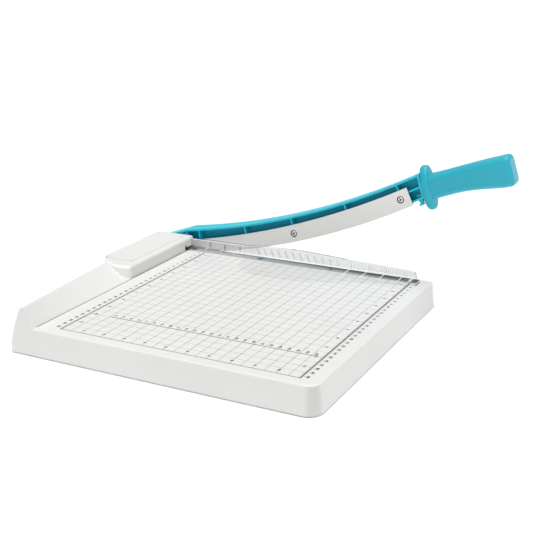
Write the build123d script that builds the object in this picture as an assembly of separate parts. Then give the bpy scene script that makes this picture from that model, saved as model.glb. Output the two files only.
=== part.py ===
from build123d import *
import math
import os

# Lever-arm paper trimmer, in millimetres, +Z up, standing on its feet at Z = 0.
# The sub-parts are laid out from a working datum: X = 0 is the cutting edge (the rest of the
# deck is at negative X), Y = 0 is the printed fence ruler line (the user stands at negative Y).
# At the end everything moves so that the origin is the middle of the overall footprint.

# ---- base moulding -------------------------------------------------------------------
FOOT_DROP = 1.0            # rubber feet below the rim of the base
BASE_HEIGHT = 30.0         # rim to deck
DECK_Z = FOOT_DROP + BASE_HEIGHT
BASE_WIDTH = 320.5         # near wall to cutting edge, at the rim
FRONT_Y = -304.0           # front wall at the rim
FENCE_Y = 27.2             # foot of the fence, where the paper stops
DRAFT_DEG = 5.0            # lean of the outer walls
WALL = 2.6
DECK_THICK = 3.0
CORNER_R = 16.0            # vertical corner at the near front
TOP_EDGE_R = 2.4
SIDE_SET_BACK = 0.6        # cutting side wall behind the cutting edge
GROOVE = 1.4               # width and depth of the groove at the foot of the fence

# Fence ridge: crest position at its two ends, and the outer slope below the crest.
RIDGE_X = (-324.0, -132.0)
CREST_Y = (41.5, 67.0)
CREST_Z = (DECK_Z + 24.5, DECK_Z + 15.7)
RIDGE_BACK = ((5.0, -12.0), (10.5, -25.5), (15.0, -44.0))   # (Y, Z) steps out from the crest

# Hinge housing at the cutting end of the fence.
HOUSING_X = -145.0
HOUSING_TOP = DECK_Z + 15.5
HOUSING_BACK_TOP = 83.0
HOUSING_BACK_RIM = 88.0
HOUSING_CORNER_R = 50.0
HOUSING_EDGE_R = 3.5
HOUSING_FRONT_CORNER_R = 8.5

# ---- fixed blade and its screws --------------------------------------------------------
STRIP_WIDTH = 15.0
STRIP_THICK = 2.5
STRIP_FRONT = -286.0
STRIP_BACK = 36.0
STRIP_SCREW_X = -7.4
STRIP_SCREW_YS = (21.0, -77.0, -175.0, -273.0)
M4_HEAD_R = 4.1
M4_SHANK_R = 1.9

# ---- pivot ---------------------------------------------------------------------------
PIVOT_Y = 45.0
PIVOT_Z = DECK_Z + 5.0
BOLT_R = 4.0
RUNNING_GAP = 0.05         # radial clearance of the arm's bushing on the bolt
BUSH_R = 5.6
FACE_GAP = 0.15            # side clearance of moving faces
HOLE_FIT = 0.05            # radial room of a screw or bolt in a fixed hole
REST_OPEN_DEG = 17.0       # how far the arm stands open at rest

# ---- arm, blade and handle: drawn closed, then swung to the rest angle --------------------
BLADE_THICK = 1.8
BLADE_X = FACE_GAP
ARM_X = BLADE_X + BLADE_THICK
ARM_WIDTH = 24.0
ARM_WALL = 2.3
WEB_X = (8.0, 11.0)        # web of the arm, from its inner face, between two open pockets
ARM_FRONT = -300.0
TAIL_KINK_Y = 33.5
TAIL_END_Y = 82.0
# Shallow arcs seen from the side: (Y of the lowest point, height from the deck there, radius)
ARM_TOP = (-115.0, 7.5, 960.0)
ARM_BOTTOM = (-115.0, -21.5, 926.0)
BLADE_TOP = (-97.0, -2.8, 1047.0)
BLADE_EDGE = (-115.0, -24.0, 924.0)
SHELF = (-97.0, -7.8, 1047.0)
SHELF_THICK = 2.0
RIB_YS = (37.0, 17.5, -53.0, -122.5, -200.0, -272.0)
RIB_THICK = 1.5
BLADE_FRONT = ((-283.0, 13.4), (-285.5, -7.6))
BLADE_SCREWS = ((-122.5, -13.5), (-272.0, 1.2))
BLADE_BOSS_R = 10.5        # round eye of the blade at the pivot
BLADE_HEAD_R = 3.3
BLADE_SINK_R = 4.4         # counterbore round each screw head
BLADE_SINK = 1.1
HANDLE_X = 14.2            # middle of handle and arm
COLLAR_Y = -304.0
COLLAR_Z = 6.7
COLLAR_RADII = (14.0, 26.4)
COLLAR_THICK = 11.0
COLLAR_EDGE_R = 4.6
COLLAR_LEAN_DEG = 2.5
# Grip sections: (Y, middle height from the deck, width, height, corner radius)
GRIP_SECTIONS = (
    (-303.0, 7.3, 22.0, 30.4, 9.0),
    (-318.0, 7.5, 22.0, 29.4, 9.0),
    (-340.0, 8.5, 23.0, 29.0, 9.0),
    (-372.0, 8.2, 25.0, 32.2, 8.5),
    (-396.5, 7.1, 26.0, 34.8, 7.5),
)
GRIP_END_Y = -405.6
GRIP_END_R = 5.0
TANG = ((8.0, 20.4), (-385.0, -298.0), (2.0, 15.0))        # X, Y and Z spans

# ---- blade lock -----------------------------------------------------------------------
LOCK_PIN = (-293.6, -0.6)
LOCK_PIN_R = 1.5
LOCK_X = (6.0, 10.0)
# Hook's side outline from its pin; it swings 18 degrees to catch under the keeper.
HOOK_OUTLINE = (
    (-2.6, 2.6), (2.6, 2.6), (2.2, -5.0), (0.95, -8.4), (3.5, -9.25), (2.95, -11.0), (-2.4, -10.2),
)
KEEPER_Y = (-289.2, -286.8)
KEEPER_Z = (-8.0, -5.6)
KEEPER_REACH = 11.0
KEEPER_ROOT_X = -4.4

# ---- finger guard -----------------------------------------------------------------------
GUARD_X = (-4.0, -1.8)
GUARD_LIFT = 2.0           # gap for the paper under the guard
GUARD_SHEET = 1.8
GUARD_END_Y = -282.2
GUARD_SLOT_Y = (-289.2, -287.2)
GUARD_SLOT_X = (-21.6, -6.2)
GUARD_TAB_X = (-20.0, -7.6)
GUSSET_YS = (-1.5, -23.5, -45.5, -202.0, -224.3, -246.6, -269.0)
GUSSET_REACH = (14.0, 14.0, 18.0, 34.0, 34.0, 32.0, 28.0)
RIDGE_PITCH = 10.0
RIDGE_LEAN_DEG = 20.0

FEET = ((-298.0, -282.0), (-298.0, 40.0), (-24.0, -282.0), (-62.0, 66.0))
FOOT_R = 8.0
BRACKET_SCREWS = ((-41.0, 43.0), (-41.0, 70.0), (-15.0, 69.0))
BRACKET_Z = (20.0, 23.0)   # foot plate of the pivot bracket
BRACKET_Y = (37.0, 77.0)
BRACKET_SCREW_R = 1.7
HEAD_X = 25.4              # seat of the bolt's head
BOLT_END_X = -32.0
SPRING_X = (-20.0, -6.2)
SPRING_R = 6.6
SPRING_WIRE = 0.9
NUT_X = (13.0, 3.2)        # inner face and thickness of the blade nuts
NUT_R = 4.0
FOOT_SCREW_R = 1.7
COVER_X = (-124.0, -9.0)
COVER_Y = (37.0, 77.0)
COVER_THICK = 1.6
WINDOW_X = (-118.0, -78.0)
WINDOW_Y = (46.0, 70.0)
GRIP_SCREW = (-350.0, 8.5)
GRIP_SCREW_R = 1.6
GRIP_SCREW_SEAT = 23.4


def arc_height(arc, y):
    """Height above the deck of a shallow side arc at Y."""
    low_y, low_z, radius = arc
    return low_z + radius - math.sqrt(radius**2 - (y - low_y) ** 2)


def arc_edge(arc, y0, y1):
    """Part of a side arc between two Y values, drawn in the YZ plane."""
    ys = (y0, (y0 + y1) / 2, y1)
    return ThreePointArc(*[(y, DECK_Z + arc_height(arc, y)) for y in ys])


def box(x, y, z):
    """Box between pairs of coordinates."""
    spans = [sorted(span) for span in (x, y, z)]
    sizes = [high - low for low, high in spans]
    middle = [(high + low) / 2 for low, high in spans]
    return Pos(*middle) * Box(*sizes)


def rod_x(x, y, z, radius):
    """Round rod along X between two X values."""
    low, high = sorted(x)
    return Pos((low + high) / 2, y, z) * Rot(0, 90, 0) * Cylinder(radius, high - low)


def rod_z(x, y, z, radius):
    """Upright round rod between two Z values."""
    low, high = sorted(z)
    return Pos(x, y, (low + high) / 2) * Cylinder(radius, high - low)


def swing(shape, degrees=REST_OPEN_DEG):
    """Swing a closed-position shape up about the pivot."""
    axis = Axis((0, PIVOT_Y, PIVOT_Z), (-1, 0, 0))
    return shape.rotate(axis, degrees)


# ---- base ---------------------------------------------------------------------------------
def plan_block(inset, z0, z1):
    """The base's plan with drafted walls, as a block that runs past the cutting side and back."""
    x0, x1 = -BASE_WIDTH + inset, 40.0
    y0, y1 = FRONT_Y + inset, 130.0
    plan = Rectangle(x1 - x0, y1 - y0)
    near_front = plan.vertices().sort_by_distance((-500, -500, 0))[0]
    plan = fillet(near_front, CORNER_R - inset)
    plan = Pos((x0 + x1) / 2, (y0 + y1) / 2, FOOT_DROP) * plan
    block = extrude(plan, 60.0, taper=DRAFT_DEG)
    return block & box((-400, 60), (-400, 200), (z0, z1))


def ridge_profile(end, rim_z, inset):
    """Section of the fence ridge at one end, in the YZ plane."""
    crest = (CREST_Y[end], CREST_Z[end])
    points = [(FENCE_Y, rim_z), (FENCE_Y, DECK_Z), crest]
    points += [(crest[0] + dy, crest[1] + dz) for dy, dz in RIDGE_BACK]
    points.append((crest[0] + RIDGE_BACK[-1][0], rim_z))
    section = make_face(Polyline(*points, close=True))
    crest_vertex = section.vertices().sort_by_distance((crest[0], crest[1], 0))[0]
    section = fillet(crest_vertex, 3.0)
    if inset:
        section = offset(section, -inset, kind=Kind.INTERSECTION)
    return Plane.YZ.offset(RIDGE_X[end]) * section


def ridge(rim_z, inset=0.0):
    return loft([ridge_profile(0, rim_z, inset), ridge_profile(1, rim_z, inset)], ruled=True)


def housing(rim_z, inset=0.0):
    """Hinge housing: side section run along X, trimmed to its rounded plan."""
    points = [
        (FENCE_Y, rim_z),
        (FENCE_Y, HOUSING_TOP),
        (HOUSING_BACK_TOP, HOUSING_TOP),
        (HOUSING_BACK_RIM, FOOT_DROP + 8),
        (HOUSING_BACK_RIM, rim_z),
    ]
    section = make_face(Polyline(*points, close=True))
    if inset:
        section = offset(section, -inset, kind=Kind.INTERSECTION)
    run = extrude(Plane.YZ.offset(HOUSING_X) * section, -HOUSING_X)
    plan = Rectangle(-HOUSING_X, HOUSING_BACK_RIM - FENCE_Y)
    plan = Pos(HOUSING_X / 2, (HOUSING_BACK_RIM + FENCE_Y) / 2) * plan
    back = plan.vertices().sort_by_distance((-500, 500, 0))[0]
    plan = fillet(back, HOUSING_CORNER_R)
    front = plan.vertices().sort_by_distance((-500, -500, 0))[0]
    plan = fillet(front, HOUSING_FRONT_CORNER_R)
    if inset:
        plan = offset(plan, -inset)
    block = run & extrude(plan, 80.0)
    if inset:
        return block
    rim = block.edges().filter_by(lambda e: abs(e.center().Z - HOUSING_TOP) < 0.01)
    rim = rim.filter_by(lambda e: e.center().X < -1)
    return fillet(rim, HOUSING_EDGE_R)


def base_outer():
    deck_slab = box((-400, 40), (-400, FENCE_Y + 1), (FOOT_DROP, DECK_Z))
    slab = plan_block(0.0, FOOT_DROP, DECK_Z) & deck_slab
    top_edges = slab.edges().filter_by(lambda e: abs(e.center().Z - DECK_Z) < 0.01)
    top_edges = top_edges.filter_by(lambda e: e.center().X < 20 and e.center().Y < 20)
    slab = fillet(top_edges, TOP_EDGE_R)
    back = ridge(FOOT_DROP) & plan_block(0.0, FOOT_DROP, DECK_Z + 30)
    block = slab + back + housing(FOOT_DROP)
    return block & box((-400, -SIDE_SET_BACK), (-400, 200), (0, 100))


def base_inner():
    """Hollow of the base, open below."""
    slab = plan_block(WALL, 0.0, DECK_Z - DECK_THICK)
    slab = slab & box((-400, -SIDE_SET_BACK - WALL), (-400, FENCE_Y), (0, DECK_Z))
    strip_backing = box((-STRIP_WIDTH - 4, 0), (STRIP_FRONT - 4, FENCE_Y), (DECK_Z - 6, DECK_Z))
    inner_bottom = FOOT_DROP - 10.0
    fence = ridge(inner_bottom, WALL) & plan_block(WALL, 0.0, DECK_Z + 30)
    cavity = housing(inner_bottom, WALL)
    hollow = (slab - strip_backing) + (fence + cavity)
    return hollow & box((-400, -SIDE_SET_BACK - WALL), (-400, 200), (0, 100))


def base_ribs():
    """Stiffening ribs under the deck."""
    top = DECK_Z - DECK_THICK + 0.5
    bottom = top - 13.0
    ribs = []
    for y in range(-260, 0, 52):
        ribs.append(box((-316, -4), (y - 0.9, y + 0.9), (bottom, top)))
    for x in range(-276, -20, 50):
        ribs.append(box((x - 0.9, x + 0.9), (-300, FENCE_Y + 1), (bottom, top)))
    return ribs


def base_bosses():
    """Posts for the feet, the fixed blade's screws and the pivot bracket."""
    posts = []
    for x, y in FEET:
        ceiling = HOUSING_TOP if y > FENCE_Y else DECK_Z
        posts.append(rod_z(x, y, (FOOT_DROP + 4, ceiling - 1), 6.5))
    for y in STRIP_SCREW_YS:
        posts.append(rod_z(STRIP_SCREW_X, y, (DECK_Z - 18, DECK_Z - 2), 4.4))
    for x, y in BRACKET_SCREWS:
        posts.append(rod_z(x, y, (BRACKET_Z[1], HOUSING_TOP - 1), 4.2))
    return posts


def keeper(spare=0.0):
    """Catch plate pressed into the cutting side, under which the lock hooks."""
    spans = ((KEEPER_ROOT_X, KEEPER_REACH), KEEPER_Y, (DECK_Z + KEEPER_Z[0], DECK_Z + KEEPER_Z[1]))
    return box(*[(low - spare, high + spare) for low, high in spans])


def make_base_shell():
    outer = base_outer()
    shell = outer - base_inner()
    stiffening = [(part & outer) for part in base_ribs() + base_bosses()]
    shell = shell + stiffening
    cuts = [
        # Recess for the fixed blade, which runs on under the housing.
        box((-STRIP_WIDTH, 1), (STRIP_FRONT, STRIP_BACK), (DECK_Z - STRIP_THICK, DECK_Z + 0.02)),
        # Groove where the fence meets the deck.
        box((-312, 1), (FENCE_Y - GROOVE, FENCE_Y), (DECK_Z - GROOVE, DECK_Z + 1)),
        # Slot for the guard's front tab.
        box(GUARD_SLOT_X, GUARD_SLOT_Y, (DECK_Z - 8, DECK_Z + 1)),
        # Openings in the housing's front face for the guard's tail.
        box((-4.6, 0), (FENCE_Y - 0.9, FENCE_Y + 9), (DECK_Z, DECK_Z + 12.6)),
        box((-20.4, -17.0), (FENCE_Y - 0.9, FENCE_Y + 9), (DECK_Z, DECK_Z + 7.2)),
        box((-20.4, -4), (FENCE_Y - 0.9, FENCE_Y + 9), (DECK_Z, DECK_Z + 4.2)),
        keeper(HOLE_FIT),
        # Hole for the pivot bolt.
        rod_x((-8, 2), PIVOT_Y, PIVOT_Z, BOLT_R + 1.0),
        # Recess and window for the housing cover.
        box(COVER_X, COVER_Y, (HOUSING_TOP - COVER_THICK, HOUSING_TOP + 5)),
        box(WINDOW_X, WINDOW_Y, (HOUSING_TOP - 8, HOUSING_TOP + 5)),
    ]
    cuts += [rod_z(x, y, (0, DECK_Z - 12), FOOT_SCREW_R + HOLE_FIT) for x, y in FEET]
    strip_hole = M4_SHANK_R + HOLE_FIT
    cuts += [rod_z(STRIP_SCREW_X, y, (DECK_Z - 16, DECK_Z), strip_hole) for y in STRIP_SCREW_YS]
    bracket_hole = BRACKET_SCREW_R + HOLE_FIT
    cuts += [rod_z(x, y, (0, BRACKET_Z[1] + 14), bracket_hole) for x, y in BRACKET_SCREWS]
    return shell - cuts


def make_housing_cover():
    """Lid over the pivot, held by four snap legs through the window."""
    plate = Rectangle(COVER_X[1] - COVER_X[0] - 0.4, COVER_Y[1] - COVER_Y[0] - 0.4)
    plate = fillet(plate.vertices(), 5.0)
    middle = (sum(COVER_X) / 2, sum(COVER_Y) / 2, HOUSING_TOP - COVER_THICK)
    lid = extrude(Pos(*middle) * plate, COVER_THICK + 0.5)
    lid = fillet(lid.faces().sort_by(Axis.Z)[-1].edges(), 0.45)
    legs = []
    for y, lip in ((WINDOW_Y[0] + 0.8, -1), (WINDOW_Y[1] - 0.8, 1)):
        for x in (WINDOW_X[0] + 12, WINDOW_X[1] - 12):
            leg = box((x - 4, x + 4), (y - 0.7, y + 0.7), (HOUSING_TOP - 6, HOUSING_TOP - 1))
            catch_y = (y, y + lip * 1.4)
            catch = box((x - 4, x + 4), catch_y, (HOUSING_TOP - 6, HOUSING_TOP - 4.4))
            legs += [leg, catch]
    return lid + legs


# ---- fixed blade --------------------------------------------------------------------------
def countersunk_screw(radius_head, radius_shank, length):
    """Countersunk screw with a cross recess, head up, top at Z = 0."""
    depth = radius_head - radius_shank
    screw = Pos(0, 0, -depth / 2) * Cone(radius_shank, radius_head, depth)
    screw += rod_z(0, 0, (-length, -depth + 0.05), radius_shank)
    recess = [
        box((-0.5, 0.5), (-2.1, 2.1), (-1.3, 1)),
        box((-2.1, 2.1), (-0.5, 0.5), (-1.3, 1)),
    ]
    return screw - recess


def pan_screw(radius_head, height, radius_shank, length):
    """Pan-head screw, seat at Z = 0, head above, shank below."""
    head = rod_z(0, 0, (0, height), radius_head)
    head = fillet(head.faces().sort_by(Axis.Z)[-1].edges(), height * 0.45)
    screw = head + rod_z(0, 0, (-length, 0.05), radius_shank)
    slot = radius_head * 0.55
    recess = [
        box((-0.45, 0.45), (-slot, slot), (height * 0.45, height + 1)),
        box((-slot, slot), (-0.45, 0.45), (height * 0.45, height + 1)),
    ]
    return screw - recess


def make_fixed_blade():
    strip = box((-STRIP_WIDTH, 0), (STRIP_FRONT, STRIP_BACK), (DECK_Z - STRIP_THICK, DECK_Z))
    for y in STRIP_SCREW_YS:
        depth = M4_HEAD_R - M4_SHANK_R
        strip -= Pos(STRIP_SCREW_X, y, DECK_Z - depth / 2) * Cone(M4_SHANK_R, M4_HEAD_R, depth)
        strip -= rod_z(STRIP_SCREW_X, y, (DECK_Z - 5, DECK_Z), M4_SHANK_R + HOLE_FIT)
    return strip


def make_fixed_blade_screws():
    screw = countersunk_screw(M4_HEAD_R, M4_SHANK_R, 14.0)
    return [Pos(STRIP_SCREW_X, y, DECK_Z) * screw for y in STRIP_SCREW_YS]


# ---- finger guard -----------------------------------------------------------------------
def guard_wall():
    z0 = DECK_Z + GUARD_LIFT
    edges = [
        Line((FENCE_Y + 7, z0), (FENCE_Y + 7, DECK_Z + 12)),
        Line((FENCE_Y + 7, DECK_Z + 12), (-52, DECK_Z + 12.4)),
        Spline(
            [(-52, DECK_Z + 12.4), (-92, DECK_Z + 16.0), (-138, DECK_Z + 16.4), (-190, DECK_Z + 14.0)],
            tangents=[(-1, 0.02), (-1, -0.06)],
        ),
        Line((-190, DECK_Z + 14.0), (GUARD_END_Y + 5, DECK_Z + 10.8)),
        ThreePointArc(
            (GUARD_END_Y + 5, DECK_Z + 10.8),
            (GUARD_END_Y + 1.4, DECK_Z + 9.2),
            (GUARD_END_Y, DECK_Z + 5.6),
        ),
        Line((GUARD_END_Y, DECK_Z + 5.6), (GUARD_END_Y, z0)),
        Line((GUARD_END_Y, z0), (FENCE_Y + 7, z0)),
    ]
    wall = extrude(Plane.YZ.offset(GUARD_X[0]) * make_face(edges), GUARD_X[1] - GUARD_X[0])
    return wall


def guard_top(y):
    """Height of the guard's top edge above the deck."""
    if y > -52:
        return 12.0
    if y > -190:
        return 15.0 - 0.0006 * (y + 115) ** 2
    return 13.4 - 0.03 * (-190 - y)


def guard_flange():
    """Flat sheet over the deck, widest where the fingers press."""
    points = [
        (GUARD_X[0], FENCE_Y + 7),
        (GUARD_X[0], GUARD_END_Y),
        (-29, GUARD_END_Y),
        (-35, -252),
        (-46, -217),
        (-60, -184),
        (-69.5, -144),
        (-69.5, -97),
        (-50, -70.5),
        (-16.6, -54),
        (-16.6, FENCE_Y + 7),
    ]
    sheet = make_face(Polyline(*points, close=True))
    corners = sheet.vertices().filter_by(lambda v: v.Y < FENCE_Y and v.X < -28)
    sheet = fillet(corners, 5.0)
    return extrude(Pos(0, 0, DECK_Z + GUARD_LIFT) * sheet, GUARD_SHEET)


def guard_gusset(y, reach):
    """Upright stiffener: tall at the wall, running out low along the flange."""
    floor = DECK_Z + GUARD_LIFT + GUARD_SHEET - 0.2
    top = DECK_Z + guard_top(y) - 0.8
    x = GUARD_X[0]
    points = [(x + 0.2, floor), (x + 0.2, top), (x - 1.2, top), (x - 5.5, floor + 1.9)]
    points += [(x - reach, floor + 1.5), (x - reach, floor)]
    web = make_face(Polyline(*points, close=True))
    return extrude(Plane.XZ.offset(-y - 0.9) * web, 1.8)


def guard_press_ridges():
    """Slanted grip ridges on the raised middle of the wall."""
    ridges = []
    lean = math.tan(math.radians(RIDGE_LEAN_DEG))
    for step in range(12):
        y = -74.0 - RIDGE_PITCH * step
        z0 = DECK_Z + GUARD_LIFT + GUARD_SHEET
        z1 = DECK_Z + guard_top(y) - 1.4
        shift = (z1 - z0) * lean
        points = [(y - 0.7, z0), (y + 0.7, z0), (y + 0.7 + shift, z1), (y - 0.7 + shift, z1)]
        bar = make_face(Polyline(*points, close=True))
        ridges.append(extrude(Plane.YZ.offset(GUARD_X[0] - 0.9) * bar, 1.0))
    return ridges


def make_finger_guard():
    guard = guard_wall() + guard_flange()
    guard += [guard_gusset(y, reach) for y, reach in zip(GUSSET_YS, GUSSET_REACH)]
    guard += guard_press_ridges()
    z0 = DECK_Z + GUARD_LIFT
    foot = box((-27, GUARD_X[0]), (GUARD_END_Y - 1.6, GUARD_END_Y + 2.4), (z0, z0 + 3.6))
    bridge = box(GUARD_TAB_X, (GUARD_SLOT_Y[0] + 0.3, GUARD_END_Y), (z0, z0 + 1.8))
    tab = box(GUARD_TAB_X, (GUARD_SLOT_Y[0] + 0.3, GUARD_SLOT_Y[1] - 0.3), (DECK_Z - 6, z0 + 1.8))
    return guard + foot + bridge + tab


# ---- pivot parts on the base ----------------------------------------------------------------
def make_pivot_bracket():
    x = -SIDE_SET_BACK - WALL
    upright = box((x - 3, x), BRACKET_Y, (BRACKET_Z[0], HOUSING_TOP - WALL - 0.4))
    foot = box((-48, x), BRACKET_Y, BRACKET_Z)
    plate = upright + foot
    plate -= rod_x((x - 5, x + 1), PIVOT_Y, PIVOT_Z, BOLT_R + HOLE_FIT)
    for sx, sy in BRACKET_SCREWS:
        plate -= rod_z(sx, sy, (BRACKET_Z[0] - 1, BRACKET_Z[1] + 1), BRACKET_SCREW_R + HOLE_FIT)
    return plate


def make_bracket_screws():
    screw = Rot(180, 0, 0) * pan_screw(3.4, 2.2, BRACKET_SCREW_R, 15.0)
    return [Pos(x, y, BRACKET_Z[0]) * screw for x, y in BRACKET_SCREWS]


def make_pivot_bolt():
    """Hex-head bolt along X, head on the outside of the arm."""
    shank = rod_x((BOLT_END_X, HEAD_X), PIVOT_Y, PIVOT_Z, BOLT_R)
    tip = shank.faces().sort_by(Axis.X)[0].edges()
    shank = chamfer(tip, 0.8)
    head = extrude(Plane.YZ.offset(HEAD_X) * Pos(PIVOT_Y, PIVOT_Z) * RegularPolygon(7.4, 6), 5.0)
    head = chamfer(head.faces().sort_by(Axis.X)[-1].edges(), 0.8)
    return shank + head


def ring_x(x, inner, outer):
    """Flat ring round the pivot axis."""
    return rod_x(x, PIVOT_Y, PIVOT_Z, outer) - rod_x((x[0] - 1, x[1] + 1), PIVOT_Y, PIVOT_Z, inner)


def make_head_washer():
    washer = ring_x((HEAD_X - 1.4, HEAD_X), BOLT_R + HOLE_FIT, 9.0)
    return fillet(washer.faces().sort_by(Axis.X)[-1].edges().sort_by(SortBy.RADIUS)[-1], 0.5)


def make_pivot_spring():
    """Pressure spring that keeps the two blades together."""
    turns = 3.5
    pitch = (SPRING_X[1] - SPRING_X[0] - 2 * SPRING_WIRE) / turns
    path = Helix(pitch, pitch * turns, SPRING_R)
    start = Plane(origin=path @ 0, z_dir=path % 0)
    coil = sweep(start * Circle(SPRING_WIRE), path)
    return Pos(SPRING_X[0] + SPRING_WIRE, PIVOT_Y, PIVOT_Z) * Rot(0, 90, 0) * coil


def make_spring_seat():
    """Stepped washer that centres the spring at the nut."""
    seat = ring_x((SPRING_X[0] - 1.6, SPRING_X[0]), BOLT_R + HOLE_FIT, 7.6)
    spigot = ring_x((SPRING_X[0] - 0.1, SPRING_X[0] + 1.5), BOLT_R + HOLE_FIT, 5.5)
    return seat + spigot


def make_pivot_nut():
    """Self-locking hex nut with its nylon collar."""
    x1 = SPRING_X[0] - 1.6
    plane = Plane.YZ.offset(x1 - 6.0)
    nut = extrude(plane * Pos(PIVOT_Y, PIVOT_Z) * RegularPolygon(7.5, 6), 6.0)
    nut += rod_x((x1 - 8.0, x1 - 5.9), PIVOT_Y, PIVOT_Z, 5.8)
    return nut - rod_x((x1 - 10, x1 + 1), PIVOT_Y, PIVOT_Z, BOLT_R + HOLE_FIT)


# ---- feet -----------------------------------------------------------------------------
def make_rubber_feet():
    foot = rod_z(0, 0, (0, FOOT_DROP + 4), FOOT_R)
    foot = chamfer(foot.faces().sort_by(Axis.Z)[0].edges(), 0.6)
    foot -= rod_z(0, 0, (-1, 3.0), 3.6)
    foot -= rod_z(0, 0, (-1, 10), FOOT_SCREW_R + HOLE_FIT)
    return [Pos(x, y, 0) * foot for x, y in FEET]


def make_foot_screws():
    screw = Rot(180, 0, 0) * pan_screw(3.3, 2.0, FOOT_SCREW_R, 14.0)
    return [Pos(x, y, 3.0) * screw for x, y in FEET]


# ---- arm (drawn closed) ---------------------------------------------------------------------
def arm_outline():
    """Side outline of the arm with its tail, closed position."""
    kink = (TAIL_KINK_Y, DECK_Z + arc_height(ARM_TOP, TAIL_KINK_Y))
    tail_top = (TAIL_END_Y, DECK_Z + 17.0)
    heel = (70.0, DECK_Z - 5.5)
    rear_low = (30.0, DECK_Z + arc_height(ARM_BOTTOM, 30.0))
    front_top = (ARM_FRONT, DECK_Z + arc_height(ARM_TOP, ARM_FRONT))
    front_low = (ARM_FRONT, DECK_Z + arc_height(ARM_BOTTOM, ARM_FRONT))
    return [
        arc_edge(ARM_TOP, ARM_FRONT, TAIL_KINK_Y),
        Line(kink, tail_top),
        ThreePointArc(tail_top, (80.0, DECK_Z + 4.5), heel),
        Line(heel, rear_low),
        arc_edge(ARM_BOTTOM, 30.0, ARM_FRONT),
        Line(front_low, front_top),
    ]


def arm_envelope():
    return extrude(Plane.YZ.offset(ARM_X) * make_face(arm_outline()), ARM_WIDTH)


def arm_band(arc_low, drop_low, arc_high, drop_high, y0, y1, x0, x1):
    """Solid between two side arcs, each lowered by its own drop."""
    low = (arc_low[0], arc_low[1] - drop_low, arc_low[2])
    high = (arc_high[0], arc_high[1] - drop_high, arc_high[2])
    corners = [(y, DECK_Z + arc_height(arc, y)) for y, arc in ((y0, low), (y0, high), (y1, high), (y1, low))]
    edges = [
        Line(corners[0], corners[1]),
        arc_edge(high, y0, y1),
        Line(corners[2], corners[3]),
        arc_edge(low, y1, y0),
    ]
    return extrude(Plane.YZ.offset(x0) * make_face(edges), x1 - x0)


def arm_rib(y):
    """Cross rib square to the arm's own curve."""
    slope = math.atan((y - ARM_TOP[0]) / ARM_TOP[2])
    middle_z = DECK_Z + (arc_height(ARM_TOP, y) + arc_height(ARM_BOTTOM, y)) / 2
    width = ARM_WIDTH - 1.0
    rib = Box(width, RIB_THICK, 60.0)
    return Pos(ARM_X + width / 2, y, middle_z) * Rot(math.degrees(slope), 0, 0) * rib


def make_cutting_arm():
    envelope = arm_envelope()
    pocket_face = offset(make_face(arm_outline()), -ARM_WALL, kind=Kind.INTERSECTION)
    inner_pocket = extrude(Plane.YZ.offset(ARM_X - 1) * pocket_face, WEB_X[0] + 1)
    outer_pocket = extrude(Plane.YZ.offset(ARM_X + WEB_X[1]) * pocket_face, ARM_WIDTH - WEB_X[1] + 1)
    arm = envelope - inner_pocket - outer_pocket
    inner_x = (ARM_X, ARM_X + ARM_WIDTH - 1.0)
    shelf = arm_band(SHELF, SHELF_THICK, SHELF, 0.0, ARM_FRONT + 1, 34.0, *inner_x)
    stiffening = [shelf & envelope]
    stiffening += [arm_rib(y) & envelope for y in RIB_YS]
    stiffening.append(rod_x(inner_x, PIVOT_Y, PIVOT_Z, 11.5) & envelope)
    for y, z in BLADE_SCREWS:
        stiffening.append(rod_x(inner_x, y, DECK_Z + z, 6.5) & envelope)
    arm = arm + stiffening
    arm = arm + box(*[TANG[0], TANG[1], (DECK_Z + TANG[2][0], DECK_Z + TANG[2][1])])
    face_x = ARM_X + ARM_WIDTH
    cuts = [
        # Bore for the bushing and outer recess for the washer.
        rod_x((ARM_X - 1, face_x + 1), PIVOT_Y, PIVOT_Z, BUSH_R),
        rod_x((HEAD_X - 1.4 - FACE_GAP, face_x + 1), PIVOT_Y, PIVOT_Z, 9.6),
        # Slot and room for the blade lock, with its pin bore.
        box((LOCK_X[0] - 0.6, LOCK_X[1] + 0.6), (ARM_FRONT + 0.5, -287.5), (DECK_Z - 12, DECK_Z + 5)),
        rod_x((ARM_X - 1, LOCK_X[1] + 9), LOCK_PIN[0], DECK_Z + LOCK_PIN[1], LOCK_PIN_R + HOLE_FIT),
    ]
    y, z = GRIP_SCREW
    cuts.append(rod_x((TANG[0][0] - 1, TANG[0][1] + 1), y, DECK_Z + z, GRIP_SCREW_R + HOLE_FIT))
    for y, z in BLADE_SCREWS:
        cuts.append(rod_x((ARM_X - 1, ARM_X + 16), y, DECK_Z + z, M4_SHANK_R + HOLE_FIT))
        pocket = Plane.YZ.offset(NUT_X[0]) * Pos(y, DECK_Z + z) * RegularPolygon(NUT_R, 6)
        cuts.append(extrude(pocket, 30))
    return swing(arm - cuts)


def bevel_edge(blade):
    """Lower edge of the blade on the side away from the fixed blade."""
    long_low = blade.edges().filter_by(lambda e: e.length > 200 and e.center().Z < DECK_Z - 12)
    return long_low.sort_by(Axis.X)[-1]


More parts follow.
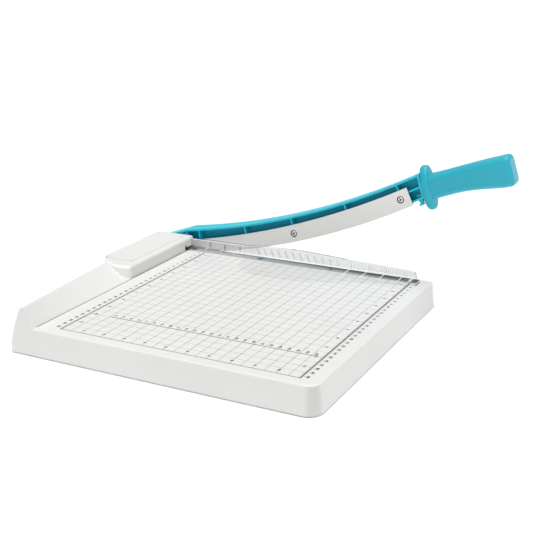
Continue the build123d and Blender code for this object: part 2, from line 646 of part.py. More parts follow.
def make_cutting_blade():
    front_top, front_low = BLADE_FRONT
    blade = arm_band(BLADE_EDGE, 0.0, BLADE_TOP, 0.0, -300.0, 46.0, BLADE_X, ARM_X)
    front_cut = Polyline(
        (front_top[0], DECK_Z + front_top[1]),
        (front_low[0], DECK_Z + front_low[1]),
        (front_low[0] - 0.35, DECK_Z - 30),
        (-320, DECK_Z - 30),
        (-320, DECK_Z + 40),
        (front_top[0] + 2.5, DECK_Z + 40),
        close=True,
    )
    blade -= extrude(Plane.YZ.offset(-1) * make_face(front_cut), 5)
    blade += rod_x((BLADE_X, ARM_X), PIVOT_Y, PIVOT_Z, BLADE_BOSS_R)
    blade = chamfer(bevel_edge(blade), 1.2, 2.4)
    blade -= rod_x((-1, 3), PIVOT_Y, PIVOT_Z, BUSH_R)
    for y, z in BLADE_SCREWS:
        blade -= rod_x((-1, BLADE_X + BLADE_SINK), y, DECK_Z + z, BLADE_SINK_R)
        blade -= rod_x((-1, 3), y, DECK_Z + z, M4_SHANK_R + HOLE_FIT)
    return swing(blade)


def make_blade_screws():
    """Cheese-head machine screws, sunk level with the blade."""
    screws = []
    for y, z in BLADE_SCREWS:
        head = rod_z(0, 0, (-BLADE_SINK, 0), BLADE_HEAD_R)
        head = chamfer(head.faces().sort_by(Axis.Z)[-1].edges(), 0.25)
        screw = head + rod_z(0, 0, (-NUT_X[0] - 4.0 + BLADE_X, -BLADE_SINK), M4_SHANK_R)
        for turn in (0, 90):
            screw -= Rot(0, 0, turn) * box((-0.5, 0.5), (-2.2, 2.2), (-0.8, 1))
        screws.append(swing(Pos(BLADE_X, y, DECK_Z + z) * Rot(0, -90, 0) * Rot(0, 0, 20) * screw))
    return screws


def make_blade_nuts():
    nuts = []
    for y, z in BLADE_SCREWS:
        nut = extrude(Plane.YZ.offset(NUT_X[0]) * Pos(y, DECK_Z + z) * RegularPolygon(NUT_R, 6), NUT_X[1])
        nut -= rod_x((NUT_X[0] - 1, NUT_X[0] + 10), y, DECK_Z + z, M4_SHANK_R + HOLE_FIT)
        nuts.append(swing(nut))
    return nuts


def make_pivot_bushing():
    """Plain sleeve pressed into arm and blade."""
    sleeve = rod_x((BLADE_X, HEAD_X - 1.4 - FACE_GAP), PIVOT_Y, PIVOT_Z, BUSH_R)
    return swing(sleeve - rod_x((-2, HEAD_X + 5), PIVOT_Y, PIVOT_Z, BOLT_R + RUNNING_GAP))


def grip_section(y, middle, width, height, radius):
    plane = Plane(origin=(HANDLE_X, y, DECK_Z + middle), x_dir=(1, 0, 0), z_dir=(0, -1, 0))
    return plane * RectangleRounded(width, height, radius)


def make_handle_grip():
    """Grip with its collar, slipped over the arm's tang."""
    grip = loft([grip_section(*row) for row in GRIP_SECTIONS])
    last = GRIP_SECTIONS[-1]
    end = extrude(grip_section(*last), last[0] - GRIP_END_Y)
    end = fillet(end.faces().sort_by(Axis.Y)[0].edges(), GRIP_END_R)
    collar = extrude(Ellipse(*COLLAR_RADII), COLLAR_THICK / 2, both=True)
    collar = fillet(collar.edges(), COLLAR_EDGE_R)
    lean = Pos(HANDLE_X, COLLAR_Y, DECK_Z + COLLAR_Z) * Rot(90 + COLLAR_LEAN_DEG, 0, 0)
    whole = grip + end + lean * collar
    whole -= arm_envelope()
    whole -= box(TANG[0], TANG[1], (DECK_Z + TANG[2][0], DECK_Z + TANG[2][1]))
    y, z = GRIP_SCREW
    whole -= rod_x((TANG[0][1], 40), y, DECK_Z + z, GRIP_SCREW_R + HOLE_FIT)
    whole -= rod_x((GRIP_SCREW_SEAT, 40), y, DECK_Z + z, 3.2)
    return swing(whole)


# ---- blade lock -----------------------------------------------------------------------
def make_lock_hook():
    """Small hanging hook, standing clear of the keeper at rest."""
    y, z = LOCK_PIN
    side = make_face(Polyline(*[(y + a, DECK_Z + z + b) for a, b in HOOK_OUTLINE], close=True))
    hook = extrude(Plane.YZ.offset(LOCK_X[0]) * side, LOCK_X[1] - LOCK_X[0])
    return swing(hook - rod_x((0, 20), y, DECK_Z + z, LOCK_PIN_R + RUNNING_GAP))


def make_lock_pin():
    y, z = LOCK_PIN
    return swing(rod_x((LOCK_X[0] - 0.4, LOCK_X[1] + 9), y, DECK_Z + z, LOCK_PIN_R))


def make_grip_screw():
    y, z = GRIP_SCREW
    screw = pan_screw(3.1, 2.0, GRIP_SCREW_R, GRIP_SCREW_SEAT - TANG[0][0] - 2)
    return swing(Pos(GRIP_SCREW_SEAT, y, DECK_Z + z) * Rot(0, 90, 0) * screw)


NODES = {
    "base_shell": make_base_shell,
    "housing_cover": make_housing_cover,
    "fixed_blade": make_fixed_blade,
    "fixed_blade_screws": make_fixed_blade_screws,
    "finger_guard": make_finger_guard,
    "pivot_bracket": make_pivot_bracket,
    "bracket_screws": make_bracket_screws,
    "pivot_bolt": make_pivot_bolt,
    "head_washer": make_head_washer,
    "pivot_spring": make_pivot_spring,
    "spring_seat": make_spring_seat,
    "pivot_nut": make_pivot_nut,
    "rubber_feet": make_rubber_feet,
    "foot_screws": make_foot_screws,
    "cutting_arm": make_cutting_arm,
    "cutting_blade": make_cutting_blade,
    "blade_screws": make_blade_screws,
    "blade_nuts": make_blade_nuts,
    "pivot_bushing": make_pivot_bushing,
    "handle_grip": make_handle_grip,
    "grip_screw": make_grip_screw,
    "lock_hook": make_lock_hook,
    "lock_pin": make_lock_pin,
    "lock_keeper": keeper,
}


def main():
    made = {}
    for name, make in NODES.items():
        result = make()
        made[name] = Compound(children=result) if isinstance(result, list) else result
    low = [min(getattr(part.bounding_box().min, axis) for part in made.values()) for axis in "XY"]
    high = [max(getattr(part.bounding_box().max, axis) for part in made.values()) for axis in "XY"]
    shift = Pos(-(low[0] + high[0]) / 2, -(low[1] + high[1]) / 2, 0)
    print("origin in the working datum", -shift.position)
    os.makedirs("parts", exist_ok=True)
    for name, part in made.items():
        export_step(shift * part, f"parts/{name}.step")


main()
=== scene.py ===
import math

import bpy
from mathutils import Matrix, Vector


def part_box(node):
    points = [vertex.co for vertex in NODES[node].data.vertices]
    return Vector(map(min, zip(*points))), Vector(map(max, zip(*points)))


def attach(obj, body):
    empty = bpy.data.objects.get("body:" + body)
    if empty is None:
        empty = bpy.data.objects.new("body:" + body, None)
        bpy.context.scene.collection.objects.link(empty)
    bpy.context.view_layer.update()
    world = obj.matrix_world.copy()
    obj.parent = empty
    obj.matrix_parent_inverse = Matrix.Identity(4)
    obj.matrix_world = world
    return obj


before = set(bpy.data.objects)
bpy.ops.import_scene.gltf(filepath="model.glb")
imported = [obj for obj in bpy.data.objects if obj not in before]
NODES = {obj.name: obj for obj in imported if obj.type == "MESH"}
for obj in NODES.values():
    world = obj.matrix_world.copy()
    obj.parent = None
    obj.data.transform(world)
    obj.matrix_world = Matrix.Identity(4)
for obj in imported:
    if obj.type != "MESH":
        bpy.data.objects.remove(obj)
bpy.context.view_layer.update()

MM = 0.001
INCH = 0.0254

# Datum of the printed layout: cutting edge, fence line and deck surface.
STRIP_LOW, STRIP_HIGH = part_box("fixed_blade")
EDGE_X = STRIP_HIGH[0]
FENCE_LINE_Y = STRIP_LOW[1] + 286 * MM
DECK_Z = STRIP_HIGH[2]

# Other places that the looks need.
FENCE_FOOT_Y = FENCE_LINE_Y + 27.2 * MM
PIVOT_BACK_Y = FENCE_LINE_Y + 24 * MM
FLANGE_TOP_Z = DECK_Z + 3.8 * MM
GUARD_WALL_X = EDGE_X - 4.05 * MM
# Where the guard's wall turns pale towards the hinge, a painted reflection.
GUARD_REFLECTION_Y = FENCE_LINE_Y - 50 * MM
ARM_FACE_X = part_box("cutting_arm")[0][0]
BLADE_FACE_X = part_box("cutting_blade")[0][0]
REST_TILT = math.radians(17)

# Boxes around painted shade and painted light, coloured apart from the rest of its piece, each as two
# corners.
# Painted shade on the rounded front corner.
SHADED_FRONT_CORNER = (
    (EDGE_X - 325 * MM, FENCE_LINE_Y - 310 * MM, 0.0),
    (EDGE_X - 290 * MM, FENCE_LINE_Y - 280 * MM, DECK_Z - 1 * MM),
)
# Painted light on the housing's end faces.
HOUSING_END = (
    (EDGE_X - 150 * MM, FENCE_FOOT_Y - 1 * MM, DECK_Z),
    (EDGE_X - 60 * MM, FENCE_FOOT_Y + 75 * MM, DECK_Z + 16 * MM),
)
# Painted shade in the groove at the fence's foot.
FENCE_GROOVE = (
    (EDGE_X - 315 * MM, FENCE_FOOT_Y - 1.6 * MM, DECK_Z - 1.6 * MM),
    (EDGE_X, FENCE_FOOT_Y + 0.1 * MM, DECK_Z - 0.2 * MM),
)
# Painted shade in the guard's opening.
GUARD_OPENING = (
    (EDGE_X - 26 * MM, FENCE_FOOT_Y + 0.8 * MM, DECK_Z - 3 * MM),
    (EDGE_X - 1.2 * MM, FENCE_FOOT_Y + 52 * MM, DECK_Z + 13.1 * MM),
)
# Painted dark reflection on the guard's top lip.
GUARD_LIP = (
    (EDGE_X - 4.1 * MM, FENCE_LINE_Y - 195 * MM, DECK_Z + 10 * MM),
    (EDGE_X - 1.7 * MM, FENCE_LINE_Y - 118 * MM, DECK_Z + 20 * MM),
)


# ---- colours ----------------------------------------------------------------------------
def grey(value):
    return (value, value, value)


def shade(color, factor):
    return tuple(min(1.0, c * factor) for c in color)


WHITE = (0.765, 0.76, 0.745)
TEAL = (0.026, 0.56, 0.71)
# Painted shade on the arm's web.
WEB_SHADE_TEAL = (0.004, 0.36, 0.50)
HANDLE_TEAL = (0.028, 0.43, 0.555)
# Painted light on the housing's end faces.
HOUSING_END_PAINTED_LIGHT = (0.94, 0.935, 0.92)
# Painted shade in the fence's groove.
GROOVE_SHADE = (0.42, 0.41, 0.40)
# Painted shade in recesses.
RECESS_SHADE = grey(0.03)
# Painted shade in the guard's opening and at the guard's rib roots.
DEEP_SHADE = grey(0.05)


# ---- materials --------------------------------------------------------------------------
class Builder:
    """Small helper that adds and links shader nodes."""

    RAMP_STOPS = (0.3, 0.7)

    def __init__(self, name):
        self.material = bpy.data.materials.new(name)
        self.material.use_nodes = True
        self.tree = self.material.node_tree
        self.shader = self.tree.nodes["Principled BSDF"]
        self.coords = self.add("ShaderNodeTexCoord")

    def add(self, kind, **values):
        node = self.tree.nodes.new(kind)
        for key, value in values.items():
            setattr(node, key, value)
        return node

    def link(self, a, b):
        self.tree.links.new(a, b)

    def mapped(self, scale, turn):
        mapping = self.add("ShaderNodeMapping")
        mapping.inputs["Scale"].default_value = scale
        mapping.inputs["Rotation"].default_value = turn
        self.link(self.coords.outputs["Object"], mapping.inputs["Vector"])
        return mapping.outputs["Vector"]

    def noise(self, scale, detail, vector=None, rough=0.5):
        node = self.add("ShaderNodeTexNoise")
        node.inputs["Scale"].default_value = scale
        node.inputs["Detail"].default_value = detail
        node.inputs["Roughness"].default_value = rough
        self.link(vector or self.coords.outputs["Object"], node.inputs["Vector"])
        return node.outputs["Fac"]

    def ramp(self, value, low, high):
        """Colour that goes from low to high with a noise value."""
        node = self.add("ShaderNodeValToRGB")
        for element, stop, color in zip(node.color_ramp.elements, self.RAMP_STOPS, (low, high)):
            element.position = stop
            element.color = (*color, 1)
        self.link(value, node.inputs["Fac"])
        return node.outputs["Color"]

    def scaled(self, value, low, high):
        """Value of 0 to 1 spread over low to high."""
        node = self.add("ShaderNodeMapRange")
        node.inputs["To Min"].default_value = low
        node.inputs["To Max"].default_value = high
        self.link(value, node.inputs["Value"])
        return node.outputs["Result"]

    def part_of(self, kind, axis):
        """One axis of the surface's place ("Object", in metres) or of its direction ("Normal")."""
        node = self.add("ShaderNodeSeparateXYZ")
        self.link(self.coords.outputs[kind], node.inputs["Vector"])
        return node.outputs[axis]

    def math(self, operation, *values):
        node = self.add("ShaderNodeMath", operation=operation)
        for socket, value in zip(node.inputs, values):
            if isinstance(value, float):
                socket.default_value = value
            else:
                self.link(value, socket)
        return node.outputs["Value"]

    def between(self, value, start, end):
        """0 before start, 1 past end, and even between them."""
        node = self.add("ShaderNodeMapRange")
        node.inputs["From Min"].default_value = start
        node.inputs["From Max"].default_value = end
        self.link(value, node.inputs["Value"])
        return node.outputs["Result"]

    def mixed(self, share, first, second):
        """Blend of two colours, each a socket or a plain colour."""
        node = self.add("ShaderNodeMix", data_type="RGBA")
        self.link(share, node.inputs[0])
        for socket, color in ((node.inputs[6], first), (node.inputs[7], second)):
            if isinstance(color, tuple):
                socket.default_value = (*color, 1)
            else:
                self.link(color, socket)
        return node.outputs[2]

    def inside(self, low, high):
        """1 inside the box between two corners, else 0."""
        share = None
        for axis, start, end in zip("XYZ", low, high):
            place = self.part_of("Object", axis)
            for test, limit in (("GREATER_THAN", start), ("LESS_THAN", end)):
                passed = self.math(test, place, limit)
                share = passed if share is None else self.math("MULTIPLY", share, passed)
        return share

    def darkened(self, color, axis, start, end, dark=RECESS_SHADE):
        """Colour that turns dark from start to end along an axis: painted shade, as in a recess."""
        return self.mixed(self.between(self.part_of("Object", axis), start, end), color, dark)

    def bump(self, height, strength, distance):
        node = self.add("ShaderNodeBump")
        node.inputs["Strength"].default_value = strength
        node.inputs["Distance"].default_value = distance
        self.link(height, node.inputs["Height"])
        self.link(node.outputs["Normal"], self.shader.inputs["Normal"])

    def color_from(self, base, tinted=None):
        """Base colour, changed by tinted(builder, colour) where the piece has such a function."""
        self.link(tinted(self, base) if tinted else base, self.shader.inputs["Base Color"])

    def roughness_from(self, value, low, high):
        self.link(self.scaled(value, low, high), self.shader.inputs["Roughness"])


def moulded_plastic(
    name, color, roughness, grain=1400.0, strength=0.12, mottle=0.025, gloss=0.5, tinted=None
):
    """Injection-moulded plastic: fine spark-eroded grain and faint flow mottling."""
    b = Builder(name)
    base = b.ramp(b.noise(9.0, 4.0), shade(color, 1 - mottle), shade(color, 1 + mottle))
    b.color_from(base, tinted)
    b.roughness_from(b.noise(60.0, 5.0), roughness - 0.05, roughness + 0.05)
    b.bump(b.noise(grain, 2.0), strength, 0.08 * MM)
    b.shader.inputs["Specular IOR Level"].default_value = gloss
    return b.material


def brushed_metal(name, color, roughness, scale, turn=(0, 0, 0), tinted=None):
    """Metal with fine parallel grinding marks."""
    b = Builder(name)
    b.shader.inputs["Metallic"].default_value = 1.0
    lines = b.noise(1.0, 6.0, b.mapped(scale, turn), 0.7)
    b.color_from(b.ramp(lines, shade(color, 0.9), shade(color, 1.06)), tinted)
    b.roughness_from(lines, roughness - 0.08, roughness + 0.08)
    b.bump(lines, 0.15, 0.03 * MM)
    return b.material


def turned_metal(name, color, roughness, tinted=None):
    """Small plated or turned metal pieces with fine random marks."""
    b = Builder(name)
    b.shader.inputs["Metallic"].default_value = 1.0
    marks = b.noise(900.0, 5.0, rough=0.65)
    b.color_from(b.ramp(marks, shade(color, 0.85), shade(color, 1.05)), tinted)
    b.roughness_from(marks, roughness - 0.07, roughness + 0.1)
    b.bump(marks, 0.1, 0.03 * MM)
    return b.material


def clear_plastic(name):
    """Thin clear moulding: a polished flange and a hazy wall, with a painted pale reflection on the
    wall towards the hinge, white rims as a painted highlight, painted shade at the rib roots and a
    painted dark reflection on the lip.
    """
    b = Builder(name)
    pale = b.ramp(b.noise(30.0, 4.0), (0.42, 0.41, 0.40), (0.49, 0.48, 0.47))
    # Painted pale reflection on the guard towards the hinge.
    pale_reflection = b.between(b.part_of("Object", "Y"), GUARD_REFLECTION_Y - 30 * MM, GUARD_REFLECTION_Y)
    pale = b.mixed(pale_reflection, pale, (0.88, 0.87, 0.86))
    x = b.part_of("Object", "X")
    on_wall = b.math("GREATER_THAN", x, GUARD_WALL_X)
    side = b.math("GREATER_THAN", b.math("ABSOLUTE", b.part_of("Normal", "Y")), 0.5)
    # Painted shade at the rib roots.
    root = b.math("MULTIPLY", side, b.math("GREATER_THAN", x, GUARD_WALL_X - 0.95 * MM))
    raised = b.math("GREATER_THAN", b.part_of("Object", "Z"), FLANGE_TOP_Z + 0.4 * MM)
    # White top rims: painted highlight.
    rim = b.math("MULTIPLY", raised, b.math("GREATER_THAN", b.part_of("Normal", "Z"), 0.7))
    # Painted dark reflection on the top lip.
    lip = b.math("MULTIPLY", rim, b.inside(*GUARD_LIP))
    color = b.mixed(rim, b.mixed(root, pale, DEEP_SHADE), grey(1.0))
    b.color_from(b.mixed(lip, color, (0.12, 0.115, 0.11)))
    b.roughness_from(b.noise(220.0, 4.0), 0.06, 0.16)
    alpha = b.scaled(on_wall, 0.05, 0.24)
    for share, amount in ((root, 0.6), (rim, 0.5), (b.math("MULTIPLY", on_wall, pale_reflection), 0.26)):
        alpha = b.math("ADD", alpha, b.scaled(share, 0.0, amount))
    b.link(alpha, b.shader.inputs["Alpha"])
    return b.material


def rubber(name):
    b = Builder(name)
    speckle = b.noise(700.0, 4.0)
    b.color_from(b.ramp(speckle, (0.022, 0.022, 0.023), grey(0.05)))
    b.roughness_from(speckle, 0.75, 0.95)
    b.bump(speckle, 0.3, 0.1 * MM)
    return b.material


def ink(name, color):
    """Screen-printed ink, slightly uneven in strength."""
    b = Builder(name)
    wear = b.noise(500.0, 4.0)
    b.color_from(b.ramp(wear, shade(color, 0.85), shade(color, 1.15)))
    b.roughness_from(wear, 0.4, 0.6)
    return b.material


# ---- colour that changes over a piece: painted shade and light ----------------------------
def shell_tint(b, color):
    """Painted shade on the rounded front corner, in the fence's groove and in the guard's opening, and
    painted light on the housing's end.
    """
    both_ways = b.math("MULTIPLY", b.part_of("Normal", "X"), b.part_of("Normal", "Y"))
    # Painted shade on the rounded front corner.
    rounded = b.math("MULTIPLY", b.inside(*SHADED_FRONT_CORNER), b.between(both_ways, 0.1, 0.45))
    color = b.mixed(rounded, color, shade(WHITE, 0.82))
    # Painted light on the end faces of the housing.
    facing_end = b.between(b.part_of("Normal", "X"), -0.1, -0.6)
    at_end = b.math("MULTIPLY", b.inside(*HOUSING_END), facing_end)
    color = b.mixed(at_end, color, HOUSING_END_PAINTED_LIGHT)
    # Painted shade in the fence's groove.
    color = b.mixed(b.inside(*FENCE_GROOVE), color, GROOVE_SHADE)
    # Painted shade in the guard's opening.
    return b.mixed(b.inside(*GUARD_OPENING), color, DEEP_SHADE)


def arm_tint(b, color):
    """Painted shade: darker teal on the web at the bottom of the arm's open pockets."""
    x = b.part_of("Object", "X")
    deep = b.math("GREATER_THAN", x, ARM_FACE_X + 7.7 * MM)
    near = b.math("LESS_THAN", x, ARM_FACE_X + 11.3 * MM)
    facing = b.math("GREATER_THAN", b.math("ABSOLUTE", b.part_of("Normal", "X")), 0.7)
    web = b.math("MULTIPLY", b.math("MULTIPLY", deep, near), facing)
    return b.mixed(web, color, WEB_SHADE_TEAL)


def blade_tint(b, color):
    """Painted shade: black in the counterbores, and darker next to the pivot."""
    # Painted shade, black in the counterbores.
    color = b.darkened(color, "X", BLADE_FACE_X + 0.15 * MM, BLADE_FACE_X + 0.3 * MM)
    # Painted shade on the blade next to the pivot.
    return b.darkened(color, "Y", PIVOT_BACK_Y - 18 * MM, PIVOT_BACK_Y, grey(0.16))


def strip_tint(b, color):
    """Painted shadow: a dark band that narrows along the cutting edge towards the hinge. The strip is
    painted black past the fence's foot, as shade under the housing.
    """
    along = b.between(b.part_of("Object", "Y"), FENCE_LINE_Y - 40 * MM, FENCE_LINE_Y - 280 * MM)
    across = b.between(b.part_of("Object", "X"), STRIP_LOW[0], STRIP_HIGH[0])
    share = b.between(b.math("ADD", along, across), 0.95, 1.4)
    # Painted shadow along the cutting edge.
    color = b.mixed(share, color, grey(0.17))
    # Painted shade where the strip runs under the housing.
    return b.darkened(color, "Y", FENCE_FOOT_Y - 1 * MM, FENCE_FOOT_Y + 1 * MM)


def blade_screw_tint(b, color):
    """Painted shade: black in the drive recess."""
    return b.darkened(color, "X", BLADE_FACE_X + 0.25 * MM, BLADE_FACE_X + 0.4 * MM)


def strip_screw_tint(b, color):
    """Painted shade: black in the drive recess."""
    return b.darkened(color, "Z", DECK_Z - 0.25 * MM, DECK_Z - 0.4 * MM)


# ---- looks of the CAD nodes ---------------------------------------------------------------
bracket_look = brushed_metal("bracket_steel", (0.55, 0.56, 0.58), 0.4, (300, 300, 1500))
screw_look = turned_metal("screw_steel", grey(0.62), 0.28)
bolt_look = turned_metal("bolt_chrome", (0.80, 0.80, 0.81), 0.14)

LOOKS = {
    "base_shell": moulded_plastic("shell_plastic", WHITE, 0.42, tinted=shell_tint),
    "housing_cover": moulded_plastic(
        "cover_plastic", shade(WHITE, 1.02), 0.36, grain=2200.0, strength=0.08
    ),
    "fixed_blade": brushed_metal(
        "strip_steel", (0.66, 0.65, 0.64), 0.62, (2600, 25, 400), tinted=strip_tint
    ),
    "fixed_blade_screws": turned_metal("strip_screw_steel", grey(0.5), 0.3, strip_screw_tint),
    "finger_guard": clear_plastic("guard_clear"),
    "pivot_bracket": bracket_look,
    "bracket_screws": screw_look,
    "pivot_bolt": bolt_look,
    "head_washer": bolt_look,
    "pivot_spring": turned_metal("spring_wire", (0.35, 0.36, 0.38), 0.35),
    "spring_seat": bracket_look,
    "pivot_nut": screw_look,
    "rubber_feet": rubber("foot_rubber"),
    "foot_screws": screw_look,
    "cutting_arm": moulded_plastic(
        "arm_plastic", TEAL, 0.38, grain=1800.0, strength=0.08, mottle=0.05, gloss=0.2, tinted=arm_tint
    ),
    "cutting_blade": brushed_metal(
        "blade_steel", (0.80, 0.80, 0.79), 0.36, (400, 25, 2600), (-REST_TILT, 0, 0), blade_tint
    ),
    "blade_screws": turned_metal("blade_screw_steel", (0.78, 0.78, 0.77), 0.3, blade_screw_tint),
    "blade_nuts": screw_look,
    "pivot_bushing": turned_metal("bush_brass", (0.72, 0.5, 0.2), 0.3),
    "handle_grip": moulded_plastic(
        "grip_plastic", HANDLE_TEAL, 0.3, grain=1100.0, mottle=0.05, gloss=0.35
    ),
    "grip_screw": screw_look,
    "lock_hook": moulded_plastic("hook_plastic", shade(TEAL, 0.9), 0.42, mottle=0.06, gloss=0.3),
    "lock_pin": turned_metal("pin_blued_steel", (0.06, 0.20, 0.26), 0.35),
    "lock_keeper": screw_look,
}
for name, look in LOOKS.items():
    node = NODES[name]
    node.data.materials.clear()
    node.data.materials.append(look)


# ---- printed layout on the deck -----------------------------------------------------------
ACROSS_LIFT, ALONG_LIFT, RULER_LIFT = 0.06 * MM, 0.078 * MM, 0.096 * MM
LEFT_X = -12 * INCH
FRONT_Y = -11 * INCH
TEN_INCH_X = -10 * INCH
STRIP_INNER_X = -16 * MM
FAINT_LINE, GRID_LINE, RULER_LINE, TICK = 0.34 * MM, 0.42 * MM, 0.8 * MM, 0.34 * MM
CM_TICK, INCH_TICK, LEFT_TICK, TEN_INCH_TICK = 3.4 * MM, 3.6 * MM, 3.4 * MM, 2.6 * MM
INCH_PARTS = 16

DIGIT = 3.0 * MM
DIGIT_BOLDNESS = 0.065 * DIGIT
CAP_SHARE = 0.7          # height of a digit over the font's size
CM_PITCH = DIGIT * 0.82
INCH_PITCH = CM_PITCH * 1.15
CM_ROWS_Y = (6.6 * MM, FRONT_Y - 6.2 * MM)
INCH_ROWS_Y = (-7.2 * MM, FRONT_Y + 7.6 * MM)
LEFT_COLUMN_X = LEFT_X + 7.2 * MM
TEN_INCH_COLUMN_X = TEN_INCH_X + 5.6 * MM


class Print:
    """Flat ink shapes gathered into one mesh. x and y run from the layout's datum, in metres."""

    def __init__(self, name, look, lift):
        self.name, self.look, self.lift = name, look, lift
        self.points, self.faces = [], []

    def quad(self, x0, y0, x1, y1):
        start = len(self.points)
        z = DECK_Z + self.lift
        for x, y in ((x0, y0), (x1, y0), (x1, y1), (x0, y1)):
            self.points.append((EDGE_X + x, FENCE_LINE_Y + y, z))
        self.faces.append((start, start + 1, start + 2, start + 3))

    def line_x(self, y, x0, x1, width):
        self.quad(x0, y - width / 2, x1, y + width / 2)

    def line_y(self, x, y0, y1, width):
        self.quad(x - width / 2, y0, x + width / 2, y1)

    def mesh_at(self, mesh, x, y):
        start = len(self.points)
        for v in mesh.vertices:
            place = (EDGE_X + x + v.co.x, FENCE_LINE_Y + y + v.co.y, DECK_Z + self.lift)
            self.points.append(place)
        for polygon in mesh.polygons:
            self.faces.append(tuple(start + i for i in polygon.vertices))

    def number(self, digits, value, x, y, pitch):
        """Whole number centred on x and y, with its digits one pitch apart."""
        text = str(value)
        for place, digit in enumerate(text):
            self.mesh_at(digits[digit], x + (place - (len(text) - 1) / 2) * pitch, y)

    def done(self):
        mesh = bpy.data.meshes.new(self.name)
        mesh.from_pydata(self.points, [], self.faces)
        mesh.materials.append(self.look)
        piece = bpy.data.objects.new(self.name, mesh)
        bpy.context.scene.collection.objects.link(piece)
        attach(piece, "base")


def digit_meshes():
    """One flat mesh for each digit, centred."""
    made = {}
    for digit in "0123456789":
        curve = bpy.data.curves.new("digit_" + digit, "FONT")
        curve.body = digit
        curve.size = DIGIT / CAP_SHARE
        curve.resolution_u = 3
        curve.offset = DIGIT_BOLDNESS
        curve.align_x = "CENTER"
        curve.align_y = "CENTER"
        text = bpy.data.objects.new("digit_" + digit, curve)
        bpy.context.scene.collection.objects.link(text)
        bpy.context.view_layer.update()
        graph = bpy.context.evaluated_depsgraph_get()
        made[digit] = bpy.data.meshes.new_from_object(text.evaluated_get(graph))
        bpy.data.objects.remove(text)
        bpy.data.curves.remove(curve)
    return made


def tick_length(step, per_whole, longest):
    """Ruler tick: longest at whole units, shorter at halves and parts."""
    if step % per_whole == 0:
        return longest
    if step % (per_whole // 2) == 0:
        return longest * 0.72
    return longest * 0.42


def cross_ticks(count, pitch):
    """Number and x of each tick on a ruler that runs across, clear of the cutting strip."""
    for step in range(count + 1):
        x = -step * pitch
        if x <= STRIP_INNER_X:
            yield step, x


def grid_line(step):
    """Width of a grid line: whole inches are stronger than half inches."""
    return FAINT_LINE if step % 2 else GRID_LINE


def print_grid():
    across = Print("print_lines_across", ink("ink_light", (0.42, 0.42, 0.415)), ACROSS_LIFT)
    for step in range(2, 24):
        across.line_y(-step * INCH / 2, FRONT_Y, 0, grid_line(step))
    across.done()
    along = Print("print_lines_along", ink("ink_mid", grey(0.17)), ALONG_LIFT)
    for step in range(1, 22):
        along.line_x(-step * INCH / 2, LEFT_X, STRIP_INNER_X, grid_line(step))
    along.done()


def print_rulers():
    """Outer rulers with centimetres outside and inches inside, and the one at ten inches."""
    rulers = Print("print_rulers", ink("ink_dark", (0.15, 0.15, 0.148)), RULER_LIFT)
    rulers.line_x(0, LEFT_X - 1 * MM, STRIP_INNER_X, RULER_LINE)
    rulers.line_x(FRONT_Y, LEFT_X - 1 * MM, STRIP_INNER_X, RULER_LINE * 1.3)
    rulers.line_y(LEFT_X, FRONT_Y, 0, RULER_LINE * 0.6)
    rulers.line_y(TEN_INCH_X, FRONT_Y + 9 * MM, -27 * MM, RULER_LINE * 0.8)
    for step, x in cross_ticks(304, MM):
        length = tick_length(step, 10, CM_TICK)
        rulers.line_y(x, 0, length, TICK)
        rulers.line_y(x, FRONT_Y - length, FRONT_Y, TICK)
    for step, x in cross_ticks(12 * INCH_PARTS, INCH / INCH_PARTS):
        length = tick_length(step, INCH_PARTS, INCH_TICK)
        rulers.line_y(x, -length, 0, TICK)
        rulers.line_y(x, FRONT_Y, FRONT_Y + length, TICK)
    for step in range(11 * INCH_PARTS + 1):
        length = tick_length(step, INCH_PARTS, LEFT_TICK)
        rulers.line_x(-step * INCH / INCH_PARTS, LEFT_X, LEFT_X + length, TICK)
    for step in range(27, 271):
        length = tick_length(step, 10, TEN_INCH_TICK)
        rulers.line_x(-step * MM, TEN_INCH_X, TEN_INCH_X + length, TICK)
    rulers.done()


def print_numbers():
    digits = digit_meshes()
    labels = Print("print_numbers", ink("ink_black", grey(0.035)), RULER_LIFT)
    for cm in range(2, 31):
        for y in CM_ROWS_Y:
            labels.number(digits, cm, -cm * 10 * MM, y, CM_PITCH)
    for inch in range(1, 12):
        for y in INCH_ROWS_Y:
            labels.number(digits, inch, -inch * INCH, y, INCH_PITCH)
    for inch in range(1, 11):
        labels.number(digits, inch, LEFT_COLUMN_X, -inch * INCH, INCH_PITCH)
    for cm in range(3, 28):
        labels.number(digits, cm, TEN_INCH_COLUMN_X, -cm * 10 * MM, CM_PITCH)
    labels.done()
    for mesh in digits.values():
        bpy.data.meshes.remove(mesh)


print_grid()
print_rulers()
print_numbers()


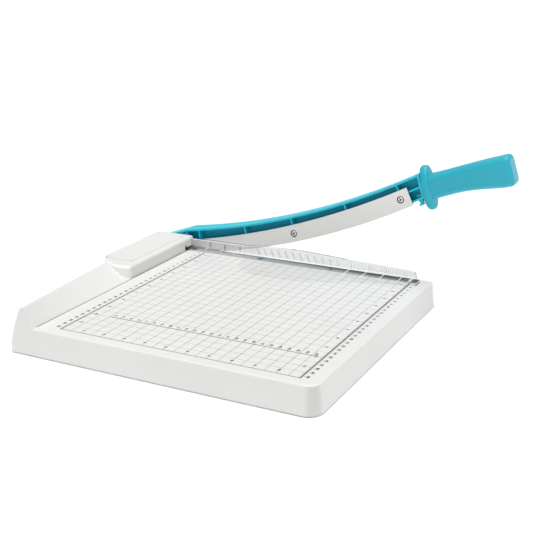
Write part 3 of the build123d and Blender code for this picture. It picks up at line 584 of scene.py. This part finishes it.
# ---- floor, light and camera --------------------------------------------------------------
def plain_floor(size):
    mesh = bpy.data.meshes.new("floor")
    corners = [(-size, -size, 0), (size, -size, 0), (size, size, 0), (-size, size, 0)]
    mesh.from_pydata(corners, [], [(0, 1, 2, 3)])
    b = Builder("floor_paper")
    b.color_from(b.ramp(b.noise(3.0, 2.0), grey(0.97), grey(0.985)))
    b.shader.inputs["Roughness"].default_value = 0.9
    b.shader.inputs["Specular IOR Level"].default_value = 0.1
    mesh.materials.append(b.material)
    floor = bpy.data.objects.new("floor", mesh)
    bpy.context.scene.collection.objects.link(floor)


def white_world(strength):
    world = bpy.data.worlds.new("studio")
    world.use_nodes = True
    background = world.node_tree.nodes["Background"]
    background.inputs["Color"].default_value = (1.0, 1.0, 1.0, 1)
    background.inputs["Strength"].default_value = strength
    bpy.context.scene.world = world


def soft_sun(name, toward, spread_degrees, strength):
    """Wide, even studio light that comes from the given direction."""
    data = bpy.data.lights.new(name, "SUN")
    data.angle = math.radians(spread_degrees)
    data.energy = strength
    light = bpy.data.objects.new(name, data)
    light.rotation_euler = Vector(toward).to_track_quat("Z", "Y").to_euler()
    bpy.context.scene.collection.objects.link(light)


def aim_camera(target, distance, azimuth_degrees, elevation_degrees, roll_degrees, lens):
    """Camera at a distance from the target, turned by roll_degrees about its line of sight."""
    azimuth, elevation, roll = map(math.radians, (azimuth_degrees, elevation_degrees, roll_degrees))
    back = Vector((
        math.sin(azimuth) * math.cos(elevation),
        -math.cos(azimuth) * math.cos(elevation),
        math.sin(elevation),
    ))
    level = Vector((0, 0, 1)).cross(back).normalized()
    upright = back.cross(level)
    right = level * math.cos(roll) + upright * math.sin(roll)
    up = upright * math.cos(roll) - level * math.sin(roll)
    data = bpy.data.cameras.new("camera")
    data.sensor_width = 36.0
    data.lens = lens
    data.clip_start = 0.05
    data.clip_end = 1000.0
    camera = bpy.data.objects.new("camera", data)
    turn = Matrix((right, up, back)).transposed().to_4x4()
    camera.matrix_world = Matrix.Translation(target + back * distance) @ turn
    bpy.context.scene.collection.objects.link(camera)
    bpy.context.scene.camera = camera


plain_floor(400.0)
white_world(0.42)
soft_sun("key_sun", (-0.12, -0.1, 1.0), 60, 2.5)
soft_sun("fill_sun", (-1.0, -0.45, 0.45), 40, 0.08)
deck_point = Vector((EDGE_X - 32 * MM, FENCE_LINE_Y - 98.6 * MM, DECK_Z))
aim_camera(deck_point, 1.2179, -61.50, 18.46, -1.175, 66.68)
bpy.context.scene.view_settings.view_transform = "Standard"
